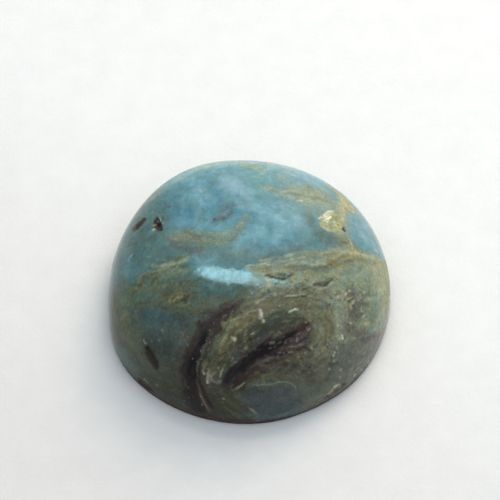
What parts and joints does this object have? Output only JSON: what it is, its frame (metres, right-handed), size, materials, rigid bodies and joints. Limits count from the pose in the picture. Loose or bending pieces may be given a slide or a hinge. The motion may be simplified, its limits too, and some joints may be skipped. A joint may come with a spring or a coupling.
{
  "type": "larimar cabochon",
  "caption": "Round high-domed larimar cabochon: polished blue and green swirled stone with a thin edge wall, small pits and a flat ground back.",
  "frame": {"origin": "middle of the outline's box, on the flat back", "axes": "+Z out of the flat back through the top of the dome; +Y away from the viewer of the picture; +X to the picture's right"},
  "size_m": [0.0284, 0.0292, 0.0104],
  "materials": {
    "larimar": "polished blue-green larimar with olive, tan and maroon veins, waxy gloss"
  },
  "bodies": {
    "root": {"cabochon": "larimar"}
  },
  "joints": []
}
